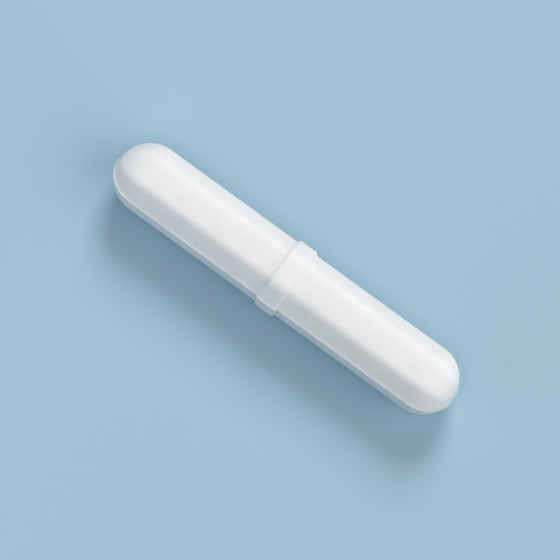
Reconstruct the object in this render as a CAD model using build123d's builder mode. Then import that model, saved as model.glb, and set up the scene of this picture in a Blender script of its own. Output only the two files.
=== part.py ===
"""Magnetic stir bar: a PTFE jacket moulded in one piece over a rod magnet.

Millimetres, +Z up. The bar lies along X and stands on the lowest facet of its pivot ring. The origin is
on that surface, under the middle of the ring.
"""

import os
from math import acos, cos, radians, sin, sqrt

from build123d import *

# Jacket body
bar_length = 45.0  # over the two domed ends
body_diameter = 8.22  # across the corners of the octagon, before they are softened
shoulder_angle = 37.0  # from a parting ridge to the next corner, seen from the axis
body_corner_radius = 1.4
body_facet_radius = 18.0  # the body's facets are very slightly crowned
dome_length = 3.95  # from the straight body to the end of the bar
pole_flat_diameter = 0.5  # where the facets of a dome run together
dome_steps = 8  # steps from section to section along a dome

# Pivot ring, moulded round the middle of the body. Its facets are flat.
ring_width = 2.4
ring_height = 0.35  # above the corners of the body
ring_corner_radius = 1.8
ring_edge_radius = 0.15

# Flash, the thin line left where the two halves of the mould meet
flash_height = 0.12
flash_thickness = 0.2

# Magnet, and the PTFE over it
side_wall = 1.25  # over the magnet, at the middle of the wide facets
end_wall = 4.5  # from the end of the magnet to the end of the bar
magnet_chamfer = 0.4
magnet_gap = 0.0  # round the magnet: the jacket is moulded tight on it

# Worked out from the sizes above
corner_angles = [0, shoulder_angle, 90, 180 - shoulder_angle]
corner_angles += [angle + 180 for angle in corner_angles]
wide_facet_half_angle = (90 - shoulder_angle) / 2
wide_facet_distance = cos(radians(wide_facet_half_angle)) / 2  # from the axis, on a diameter of 1
ring_diameter = body_diameter + 2 * ring_height
axis_height = ring_diameter * wide_facet_distance
straight_length = bar_length - 2 * dome_length
half_wide_facet = body_diameter * sin(radians(wide_facet_half_angle)) / 2
wide_facet_crown = body_facet_radius - sqrt(body_facet_radius**2 - half_wide_facet**2)
magnet_diameter = 2 * (body_diameter * wide_facet_distance + wide_facet_crown - side_wall)
magnet_length = bar_length - 2 * end_wall

# The bar lies on a wide facet, which leaves the plane between the mould halves at this tilt about X
parting_tilt = radians(wide_facet_half_angle)
ridge_direction = Vector(0, cos(parting_tilt), -sin(parting_tilt))
mould_direction = Vector(0, sin(parting_tilt), cos(parting_tilt))


def octagon(x, diameter, corner_radius, facet_radius=None):
    """The section at x: two opposite corners are sharp parting ridges, and the other six are soft.

    Without a facet radius the facets are flat.
    """
    corners = [Vector(diameter / 2, 0).rotate(Axis.Z, angle) for angle in corner_angles]
    with BuildSketch(Plane((x, 0, axis_height), x_dir=ridge_direction, z_dir=(1, 0, 0))) as section:
        with BuildLine():
            for start, end in zip(corners, corners[1:] + corners[:1]):
                if facet_radius:
                    RadiusArc(start, end, -facet_radius)  # bowed outward
                else:
                    Line(start, end)
        make_face()
        across_ridges = section.vertices().sort_by(Axis.X)
        fillet(across_ridges[1:-1], corner_radius)
    return section.sketch


def body_section(x, scale=1.0):
    """The body's crowned octagon at x, made smaller towards the ends."""
    return octagon(x, body_diameter * scale, body_corner_radius * scale, body_facet_radius * scale)


def dome(side):
    """One domed end, at +X for side 1 and at -X for side -1.

    Every facet follows an ellipse in to the pole, so the section keeps its shape and only shrinks.
    """
    last_angle = acos(pole_flat_diameter / body_diameter)
    axial_radius = dome_length / sin(last_angle)
    with BuildPart() as end:
        for step in range(dome_steps + 1):
            angle = last_angle * step / dome_steps
            x = side * (straight_length / 2 + axial_radius * sin(angle))
            add(body_section(x, cos(angle)))
        loft()
    return end.part


def pivot_ring():
    """The band that the bar turns on, an octagon in line with the body's."""
    with BuildPart() as ring:
        extrude(octagon(0, ring_diameter, ring_corner_radius), amount=ring_width / 2, both=True)
        fillet(ring.faces().filter_by(Axis.X).edges(), ring_edge_radius)
    return ring.part


def flash():
    """A thin plate between the mould halves, standing a little out of the body and the ring all round."""
    proud = 2 * flash_height
    with BuildPart() as plate:
        with BuildSketch(Plane((0, 0, axis_height), x_dir=(1, 0, 0), z_dir=mould_direction)) as outline:
            Rectangle(ring_width + proud, ring_diameter + proud)
            fillet(outline.vertices(), ring_edge_radius + flash_height)
            Rectangle(straight_length, body_diameter + proud)
            with Locations((straight_length / 2, 0), (-straight_length / 2, 0)):
                Ellipse(dome_length + flash_height, body_diameter / 2 + flash_height)
        extrude(amount=flash_thickness / 2, both=True)
    return plate.part


def rod(gap):
    """The magnet's shape on the axis of the bar, larger all round by a gap."""
    with BuildPart() as shape:
        with BuildSketch(Plane((0, 0, axis_height), x_dir=ridge_direction, z_dir=(1, 0, 0))):
            Circle(magnet_diameter / 2 + gap)
        extrude(amount=magnet_length / 2 + gap, both=True)
        chamfer(shape.edges().filter_by(GeomType.CIRCLE), magnet_chamfer)
    return shape.part


with BuildPart() as ptfe_jacket:
    extrude(body_section(0), amount=straight_length / 2, both=True)
    add(dome(1))
    add(dome(-1))
    add(pivot_ring())
    add(flash())
    add(rod(magnet_gap), mode=Mode.SUBTRACT)

with BuildPart() as bar_magnet:
    add(rod(0))

os.makedirs("parts", exist_ok=True)
ptfe_jacket.part.label = "ptfe_jacket"
export_step(ptfe_jacket.part, "parts/ptfe_jacket.step")
bar_magnet.part.label = "bar_magnet"
export_step(bar_magnet.part, "parts/bar_magnet.step")
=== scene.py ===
"""The looks of a magnetic stir bar: a PTFE jacket with a pivot ring, moulded over a rod magnet."""

from math import atan2, cos, pi, radians, sin, sqrt, tan

import bmesh
import bpy
from mathutils import Matrix, Vector, noise


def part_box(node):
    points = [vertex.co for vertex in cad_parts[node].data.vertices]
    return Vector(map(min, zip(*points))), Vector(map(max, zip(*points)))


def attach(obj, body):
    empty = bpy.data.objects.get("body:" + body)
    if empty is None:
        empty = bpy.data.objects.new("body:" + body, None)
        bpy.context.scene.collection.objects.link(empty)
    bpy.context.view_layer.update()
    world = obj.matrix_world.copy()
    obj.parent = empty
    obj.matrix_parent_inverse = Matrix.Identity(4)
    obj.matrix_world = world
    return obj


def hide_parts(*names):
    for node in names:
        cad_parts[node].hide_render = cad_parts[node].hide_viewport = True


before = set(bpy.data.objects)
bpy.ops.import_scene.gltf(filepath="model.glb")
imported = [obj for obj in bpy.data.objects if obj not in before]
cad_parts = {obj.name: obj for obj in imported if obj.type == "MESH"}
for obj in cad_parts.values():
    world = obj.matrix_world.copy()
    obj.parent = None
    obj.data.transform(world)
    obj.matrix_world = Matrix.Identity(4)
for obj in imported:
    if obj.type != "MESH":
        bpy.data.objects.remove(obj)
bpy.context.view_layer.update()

# Sizes of the moulding, in metres. They repeat the CAD model's; the rest is worked out from its box.
MM = 0.001
SHOULDER_ANGLE = radians(37.0)  # from a parting ridge to the next corner, seen from the axis
BODY_CORNER_RADIUS = 1.4 * MM
BODY_FACET_RADIUS = 18.0 * MM  # the body's facets are very slightly crowned
DOME_LENGTH = 3.95 * MM
RING_WIDTH = 2.4 * MM
RING_HEIGHT = 0.35 * MM
RING_CORNER_RADIUS = 1.8 * MM
RING_FACET_RADIUS = 1000.0 * MM  # flat
FLASH_HEIGHT = 0.12 * MM
FLASH_THICKNESS = 0.2 * MM

# What the CAD model leaves out
RING_SHOULDER = 0.45 * MM  # the worn slope from the body up to the ring, measured along the bar
UPPER_FLARE = 0.02 * MM  # how far the facets of each half run out towards the flash
LOWER_FLARE = 0.12 * MM
FLARE_REACH = 0.6 * MM
LEDGE = 0.12 * MM  # by which the lower half stands out past the upper one, on top of the flash's height
RING_SLIP = 0.1 * MM  # of the ring's lower half along the bar, from the two mould halves not quite meeting
LEDGE_END = 1 / 3  # the share of the body's radius below which the ledge and the flares fade out
WAVERS = [(0.014 * MM, 4.5 * MM), (0.004 * MM, 1.3 * MM)]  # the surface's unevenness: (height, feature size)
WAVER_SEED = 1
FLASH_MEAN = 0.87  # of the flash's full height, for it is never quite even
FLASH_LEAST = 0.4
FLASH_WANDER = [(0.22, 1.7 * MM), (0.15, 0.5 * MM)]  # (share of the full height, feature size)

low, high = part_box("ptfe_jacket")
WIDE_HALF_ANGLE = (pi / 2 - SHOULDER_ANGLE) / 2
AXIS_POINT = (low + high) / 2
RING_RADIUS = (high.z - low.z) / 2 / cos(WIDE_HALF_ANGLE)
BODY_RADIUS = RING_RADIUS - RING_HEIGHT
HALF_LENGTH = (high.x - low.x) / 2 - FLASH_HEIGHT
RIDGE_DIRECTION = Vector((0, cos(WIDE_HALF_ANGLE), -sin(WIDE_HALF_ANGLE)))
MOULD_DIRECTION = Vector((0, sin(WIDE_HALF_ANGLE), cos(WIDE_HALF_ANGLE)))


# ---------------------------------------------------------------- jacket mesh

ROW_STEP = 0.25 * MM
DOME_ROWS = 34
FIRST_DOME_ROW = 0.35  # how far out from the pole the first row is, in steps of the dome's angle
SHOULDER_ROWS = 12
CORNER_STEPS = 8
FACET_STEPS = 9
POLE_FLASH_SIDE = 0.35  # half the flash's thickness near a pole, as a share of the ridge's radius


def facet_centre(start, start_radius, end, end_radius, facet_radius):
    """The centre of the big arc that is tangent, from outside, to two corner circles."""
    chord = end - start
    reach_start = facet_radius - start_radius
    reach_end = facet_radius - end_radius
    along = (reach_start ** 2 - reach_end ** 2 + chord.length_squared) / (2 * chord.length)
    inward = Vector((-chord.y, chord.x)).normalized()
    depth = sqrt(reach_start ** 2 - along ** 2)
    return start + chord.normalized() * along + inward * depth


def arc(centre, radius, start_angle, end_angle, steps):
    """Points on an arc, both ends included."""
    angles = [start_angle + (end_angle - start_angle) * i / steps for i in range(steps + 1)]
    return [centre + Vector((cos(a), sin(a))) * radius for a in angles]


def flash_side(radius):
    """Half the flash's thickness where the parting ridge is this far from the axis."""
    return min(FLASH_THICKNESS / 2, POLE_FLASH_SIDE * radius)


def ledge_scale(radius):
    """How much of its full size the ledge has, from 0 at a pole to 1 along the body."""
    return min(radius / (LEDGE_END * BODY_RADIUS), 1)


def flared(point, radius, rise):
    """A point of the section, moved outward if it is near a parting ridge."""
    near_ridge = 1 - (radius - abs(point.x)) / (FLARE_REACH * min(radius / BODY_RADIUS, 1))
    if near_ridge <= 0:
        return point
    outward = Vector((point.x, 0)).normalized()
    return point + outward * rise * ledge_scale(radius) * min(near_ridge, 1) ** 2


def half_section(radius, corner_radius, facet_radius, flare):
    """One mould half's outline, from one parting ridge over the crown to the other.

    X points at the first ridge and Y at the crown. It starts and ends at the flash's side.
    """
    side = flash_side(radius)
    ridge = Vector((max(radius - side * tan(SHOULDER_ANGLE / 2), 0.0), side))
    facet_normals = [SHOULDER_ANGLE / 2, pi / 2 - WIDE_HALF_ANGLE]
    facet_normals += [pi - a for a in reversed(facet_normals)]
    circles = [(ridge, 0.0)]
    for i, angle in enumerate((SHOULDER_ANGLE, pi / 2, pi - SHOULDER_ANGLE)):
        before, after = (Vector((cos(a), sin(a))) for a in facet_normals[i:i + 2])
        corner = Vector((cos(angle), sin(angle))) * radius
        inset = (before + after) * corner_radius / (1 + before.dot(after))
        circles.append((corner - inset, corner_radius))
    circles.append((Vector((-ridge.x, side)), 0.0))
    points = []
    for (start, start_radius), (end, end_radius) in zip(circles, circles[1:]):
        centre = facet_centre(start, start_radius, end, end_radius, facet_radius)
        first = atan2(start.y - centre.y, start.x - centre.x)
        last = atan2(end.y - centre.y, end.x - centre.x)
        if points and start_radius:
            points += arc(start, start_radius, reached, first, CORNER_STEPS)[1:-1]
        points += arc(centre, facet_radius, first, last, FACET_STEPS)
        reached = last
    return [flared(point, radius, flare) for point in points]


def profile_rows():
    """Stations along the bar from pole to pole: (x, scale of the section, lift from body 0 to ring 1)."""
    rows = []
    straight = HALF_LENGTH - DOME_LENGTH
    for i in range(DOME_ROWS):
        angle = pi / 2 * (1 - (i + FIRST_DOME_ROW) / (DOME_ROWS + FIRST_DOME_ROW))
        rows.append((-straight - DOME_LENGTH * sin(angle), cos(angle), 0.0))
    foot = (RING_WIDTH + RING_SHOULDER) / 2
    steps = round((straight - foot) / ROW_STEP)
    rows += [(-straight + (straight - foot) * i / steps, 1.0, 0.0) for i in range(steps)]
    for i in range(SHOULDER_ROWS + 1):
        part = i / SHOULDER_ROWS
        rows.append((RING_SHOULDER * part - foot, 1.0, sin(pi / 2 * part) ** 2))
    half_top = (RING_WIDTH - RING_SHOULDER) / 2
    steps = round(half_top / ROW_STEP)
    rows += [(-half_top * (1 - i / steps), 1.0, 1.0) for i in range(1, steps)]
    return rows + [(0.0, 1.0, 1.0)] + [(-x, scale, lift) for x, scale, lift in reversed(rows)]


def smooth_noise(point, size):
    """One octave of noise, from -1 to 1, with features of about the given size. It takes no seed."""
    return noise.noise(point / size, noise_basis="PERLIN_ORIGINAL")


# The ledge, across the flash from the upper half to the lower: shares of its height and of its side
FLASH_PROFILE = [(0.4, 0.85), (0.8, 0.7), (1.0, 0.35), (1.0, -0.3)]


def flash_share(place):
    """The share of its full height that the flash has at a place."""
    share = FLASH_MEAN + sum(swing * smooth_noise(place, size) for swing, size in FLASH_WANDER)
    return min(max(share, FLASH_LEAST), 1.0)


def local_to_world(x, along_ridge, along_mould):
    """A point of the bar, from its place along the bar and in the section's own axes."""
    point = AXIS_POINT + RIDGE_DIRECTION * along_ridge + MOULD_DIRECTION * along_mould
    return Vector((point.x + x, point.y, point.z))


def bridge(bm, first, second):
    """Faces between two equally long rows of vertices; where a row has closed to a point, triangles."""
    for i in range(len(first) - 1):
        corners = []
        for vertex in (first[i], first[i + 1], second[i + 1], second[i]):
            if vertex not in corners:
                corners.append(vertex)
        if len(corners) > 2:
            bm.faces.new(corners)


def blend(body_value, ring_value, lift):
    """A size partway from the body's to the ring's."""
    return body_value + (ring_value - body_value) * lift


def patch_rows(bm, rows, mould_side):
    """The vertices of one mould half, row by row from pole to pole."""
    flare = UPPER_FLARE if mould_side > 0 else LOWER_FLARE
    patch = []
    for x, scale, lift in rows:
        radius = scale * blend(BODY_RADIUS, RING_RADIUS, lift)
        corner_radius = scale * blend(BODY_CORNER_RADIUS, RING_CORNER_RADIUS, lift)
        facet_radius = scale / blend(1 / BODY_FACET_RADIUS, 1 / RING_FACET_RADIUS, lift)
        slip = RING_SLIP * lift if mould_side < 0 else 0.0
        outline = half_section(radius, corner_radius, facet_radius, flare)
        patch.append([bm.verts.new(local_to_world(x + slip, p.x, mould_side * p.y)) for p in outline])
    pole_side = mould_side * flash_side(BODY_RADIUS * rows[0][1])
    poles = [bm.verts.new(local_to_world(x, 0, pole_side)) for x in (-HALF_LENGTH, HALF_LENGTH)]
    columns = len(patch[0])
    patch = [poles[:1] * columns] + patch + [poles[1:] * columns]
    for first, second in zip(patch, patch[1:]):
        bridge(bm, first, second)
    return patch


def flash_loop(bm, rows, upper, lower):
    """The flash, which closes the gap between the halves all the way round the bar.

    The outline's entries are (x, signed distance from the axis, row and column of the patches there).
    """
    ridge = [(-HALF_LENGTH, 0.0)]
    ridge += [(x, scale * blend(BODY_RADIUS, RING_RADIUS, lift)) for x, scale, lift in rows]
    outline = [(x, radius, row, 0) for row, (x, radius) in enumerate(ridge)]
    outline += [(HALF_LENGTH, 0.0, len(ridge), 0)]
    outline += [(x, -radius, row, -1) for row, (x, radius) in reversed(list(enumerate(ridge)))][:-1]
    loop = []
    for i, (x, reach, row, column) in enumerate(outline):
        ahead, behind = outline[(i + 1) % len(outline)], outline[i - 1]
        tangent = Vector((ahead[0] - behind[0], ahead[1] - behind[1])).normalized()
        outward = Vector((-tangent.y, tangent.x))
        height = (FLASH_HEIGHT + LEDGE * ledge_scale(abs(reach))) * flash_share(local_to_world(x, reach, 0))
        side = flash_side(max(abs(reach), BODY_RADIUS * rows[0][1]))
        across = [upper[row][column]]
        for height_share, side_share in FLASH_PROFILE:
            rise = outward * height * height_share
            place = local_to_world(x + rise.x, reach + rise.y, side * side_share)
            across.append(bm.verts.new(place))
        across.append(lower[row][column])
        loop.append(across)
    for first, second in zip(loop, loop[1:] + loop[:1]):
        bridge(bm, first, second)


def moulded_waver(bm):
    """The slight unevenness of a moulded and tumbled surface, well under a tenth of a millimetre."""
    noise.seed_set(WAVER_SEED)  # or else the noise vectors start from the clock
    for vertex in bm.verts:
        start = vertex.co.copy()
        for height, size in WAVERS:
            vertex.co += noise.noise_vector(start / size, noise_basis="PERLIN_ORIGINAL") * height
        vertex.co.z = max(vertex.co.z, low.z)


def make_jacket():
    """The PTFE moulding: two mould halves and the flash between them, as one closed skin."""
    bm = bmesh.new()
    rows = profile_rows()
    upper = patch_rows(bm, rows, 1)
    lower = patch_rows(bm, rows, -1)
    flash_loop(bm, rows, upper, lower)
    moulded_waver(bm)
    bmesh.ops.recalc_face_normals(bm, faces=bm.faces)
    for face in bm.faces:
        face.smooth = True
    mesh = bpy.data.meshes.new("moulded_jacket")
    bm.to_mesh(mesh)
    bm.free()
    jacket = bpy.data.objects.new("moulded_jacket", mesh)
    bpy.context.scene.collection.objects.link(jacket)
    return jacket


# ---------------------------------------------------------------- materials

NOISE_LOW, NOISE_HIGH = 0.3, 0.7  # the stretch of a noise texture that carries most of its values


def new_material(name):
    """A material with an empty Principled BSDF, and its node tree."""
    material = bpy.data.materials.new(name)
    material.use_nodes = True
    tree = material.node_tree
    return material, tree, tree.nodes["Principled BSDF"]


def noise_node(tree, scale, detail):
    """A noise texture on the object's own coordinates, in features per metre."""
    coordinates = tree.nodes.get("Texture Coordinate") or tree.nodes.new("ShaderNodeTexCoord")
    texture = tree.nodes.new("ShaderNodeTexNoise")
    texture.inputs["Scale"].default_value = scale
    texture.inputs["Detail"].default_value = detail
    tree.links.new(coordinates.outputs["Object"], texture.inputs["Vector"])
    return texture.outputs["Fac"]


def ramp(tree, value, low_colour, high_colour):
    """Maps the middle stretch of a noise to a range of colours."""
    node = tree.nodes.new("ShaderNodeValToRGB")
    stops = ((NOISE_LOW, low_colour), (NOISE_HIGH, high_colour))
    for element, (position, colour) in zip(node.color_ramp.elements, stops):
        element.position = position
        element.color = (*colour, 1.0)
    tree.links.new(value, node.inputs["Fac"])
    return node.outputs["Color"]


def map_range(tree, value, low_value, high_value):
    """Maps the middle stretch of a noise to a range of numbers."""
    node = tree.nodes.new("ShaderNodeMapRange")
    for name, number in (("From Min", NOISE_LOW), ("From Max", NOISE_HIGH),
                         ("To Min", low_value), ("To Max", high_value)):
        node.inputs[name].default_value = number
    tree.links.new(value, node.inputs["Value"])
    return node.outputs["Result"]


def bump(tree, height, distance, under=None):
    """A bump of true height in metres, on top of another bump if one is given."""
    node = tree.nodes.new("ShaderNodeBump")
    node.inputs["Strength"].default_value = 1.0
    node.inputs["Distance"].default_value = distance
    tree.links.new(height, node.inputs["Height"])
    if under:
        tree.links.new(under, node.inputs["Normal"])
    return node.outputs["Normal"]


def ptfe_material():
    """White PTFE: waxy, slightly translucent, with a faint grain from sintering."""
    material, tree, shader = new_material("ptfe_white")
    tint = ramp(tree, noise_node(tree, scale=420, detail=3), (0.865, 0.868, 0.87), (0.9, 0.9, 0.9))
    tree.links.new(tint, shader.inputs["Base Color"])
    gloss = map_range(tree, noise_node(tree, scale=900, detail=3), 0.6, 0.75)
    tree.links.new(gloss, shader.inputs["Roughness"])
    shader.inputs["IOR"].default_value = 1.35
    shader.inputs["Specular IOR Level"].default_value = 0.25
    shader.inputs["Subsurface Weight"].default_value = 1.0
    shader.inputs["Subsurface Radius"].default_value = (1.0, 1.0, 1.0)
    shader.inputs["Subsurface Scale"].default_value = 1.1 * MM
    soft = bump(tree, noise_node(tree, scale=1100, detail=2), 0.01 * MM)
    grain = bump(tree, noise_node(tree, scale=6500, detail=2), 0.003 * MM, under=soft)
    tree.links.new(grain, shader.inputs["Normal"])
    return material


def magnet_material():
    """Bare cast magnet alloy: dark, grey-brown and grainy."""
    material, tree, shader = new_material("alnico_cast")
    tint = ramp(tree, noise_node(tree, scale=1500, detail=5), (0.12, 0.113, 0.108), (0.24, 0.23, 0.22))
    tree.links.new(tint, shader.inputs["Base Color"])
    shader.inputs["Metallic"].default_value = 0.85
    gloss = map_range(tree, noise_node(tree, scale=2500, detail=4), 0.45, 0.7)
    tree.links.new(gloss, shader.inputs["Roughness"])
    grain = bump(tree, noise_node(tree, scale=4000, detail=4), 0.02 * MM)
    tree.links.new(grain, shader.inputs["Normal"])
    return material


# ---------------------------------------------------------------- stage

FLOOR_SIZE = 0.9
FLOOR_SEEN = (0.38, 0.57, 0.69)  # by the camera
FLOOR_LIT = (0.13, 0.32, 0.45)  # by what the floor lights
BACKDROP = (0.5, 0.66, 0.75)


def seen_directly(tree):
    """1 where the camera sees something, straight, in a reflection or through glass, and 0 for its light."""
    path = tree.nodes.new("ShaderNodeLightPath")
    result = path.outputs["Is Camera Ray"]
    for name in ("Is Glossy Ray", "Is Transmission Ray"):
        larger = tree.nodes.new("ShaderNodeMath")
        larger.operation = "MAXIMUM"
        tree.links.new(result, larger.inputs[0])
        tree.links.new(path.outputs[name], larger.inputs[1])
        result = larger.outputs[0]
    return result


def make_floor():
    """A plain pale blue floor, which throws a deeper blue back on the bar than the camera sees."""
    mesh = bpy.data.meshes.new("floor")
    half = FLOOR_SIZE / 2
    corners = [(x, y, low.z) for x, y in ((-half, -half), (half, -half), (half, half), (-half, half))]
    mesh.from_pydata(corners, [], [(0, 1, 2, 3)])
    floor = bpy.data.objects.new("floor", mesh)
    bpy.context.scene.collection.objects.link(floor)
    material, tree, shader = new_material("floor_paper")
    shader.inputs["Roughness"].default_value = 0.9
    shader.inputs["Specular IOR Level"].default_value = 0.1
    seen = seen_directly(tree)
    mix = tree.nodes.new("ShaderNodeMix")
    mix.data_type = "RGBA"
    mix.inputs["A"].default_value = (*FLOOR_LIT, 1.0)
    mix.inputs["B"].default_value = (*FLOOR_SEEN, 1.0)
    tree.links.new(seen, mix.inputs["Factor"])
    tree.links.new(mix.outputs["Result"], shader.inputs["Base Color"])
    mesh.materials.append(material)


KEY_COLOUR = (1.0, 0.98, 0.965)
FILL_COLOUR = (0.75, 0.9, 1.0)


def make_lamp(name, azimuth, elevation, distance, size, power, colour=(1.0, 1.0, 1.0)):
    """A square soft box that faces the bar. Azimuth 0 is at +Y and 90 degrees is at +X."""
    level = cos(radians(elevation))
    outward = Vector((level * sin(radians(azimuth)), level * cos(radians(azimuth)), sin(radians(elevation))))
    light = bpy.data.lights.new(name, "AREA")
    light.shape = "SQUARE"
    light.size = size
    light.energy = power
    light.color = colour
    lamp = bpy.data.objects.new(name, light)
    bpy.context.scene.collection.objects.link(lamp)
    lamp.location = AXIS_POINT + outward * distance
    lamp.rotation_euler = outward.to_track_quat("Z", "Y").to_euler()
    lamp.visible_camera = False


def make_world(strength, backdrop):
    """Faint even light from all round, with a pale backdrop where the camera sees past the floor."""
    world = bpy.data.worlds.new("studio")
    bpy.context.scene.world = world
    world.use_nodes = True
    tree = world.node_tree
    mix = tree.nodes.new("ShaderNodeMix")
    mix.data_type = "RGBA"
    mix.inputs["A"].default_value = (strength, strength, strength, 1.0)
    mix.inputs["B"].default_value = (*backdrop, 1.0)
    tree.links.new(seen_directly(tree), mix.inputs["Factor"])
    tree.links.new(mix.outputs["Result"], tree.nodes["Background"].inputs["Color"])
    tree.nodes["Background"].inputs["Strength"].default_value = 1.0


# The view, as angles of the camera about the bar
VIEW_TILT = radians(12.3)  # off the vertical, towards -Y
VIEW_LEAN = radians(2.3)  # off the vertical, towards +X
VIEW_ROLL = radians(36.03)  # of the bar below the horizontal
CAMERA_DISTANCE = 260 * MM
VIEW_WIDTH = 61.36 * MM  # of the picture, at the bar
BAR_RIGHT = 0.66 * MM  # of the middle of the picture
BAR_ABOVE = 0.18 * MM


def make_camera():
    """A long lens that looks almost straight down on the bar."""
    outward = Vector((sin(VIEW_LEAN), -sin(VIEW_TILT) * cos(VIEW_LEAN), cos(VIEW_TILT) * cos(VIEW_LEAN)))
    along_bar = (Vector((1, 0, 0)) - outward * outward.x).normalized()
    across_bar = along_bar.cross(outward)
    right = along_bar * cos(VIEW_ROLL) - across_bar * sin(VIEW_ROLL)
    upward = -along_bar * sin(VIEW_ROLL) - across_bar * cos(VIEW_ROLL)
    data = bpy.data.cameras.new("camera")
    data.sensor_width = 36.0
    data.lens = data.sensor_width * CAMERA_DISTANCE / VIEW_WIDTH
    data.clip_start = 0.01
    camera = bpy.data.objects.new("camera", data)
    bpy.context.scene.collection.objects.link(camera)
    target = AXIS_POINT - right * BAR_RIGHT - upward * BAR_ABOVE
    turn = Matrix((right, upward, outward)).transposed().to_4x4()
    camera.matrix_world = Matrix.Translation(target + outward * CAMERA_DISTANCE) @ turn
    bpy.context.scene.camera = camera


# ---------------------------------------------------------------- assembly

jacket = make_jacket()
jacket.data.materials.append(ptfe_material())
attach(jacket, "root")
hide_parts("ptfe_jacket")

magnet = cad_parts["bar_magnet"]
magnet.data.materials.clear()
magnet.data.materials.append(magnet_material())

make_floor()
make_camera()
make_lamp("key", azimuth=-21, elevation=41, distance=0.6, size=0.26, power=2.25, colour=KEY_COLOUR)
make_lamp("fill_left", azimuth=-145, elevation=20, distance=0.15, size=0.12, power=0.058, colour=FILL_COLOUR)
make_lamp("fill_right", azimuth=80, elevation=32, distance=0.6, size=0.7, power=2.5)
make_lamp("fill_top", azimuth=180, elevation=70, distance=0.6, size=0.4, power=0.85)
make_world(0.03, BACKDROP)
bpy.context.scene.view_settings.view_transform = "Standard"
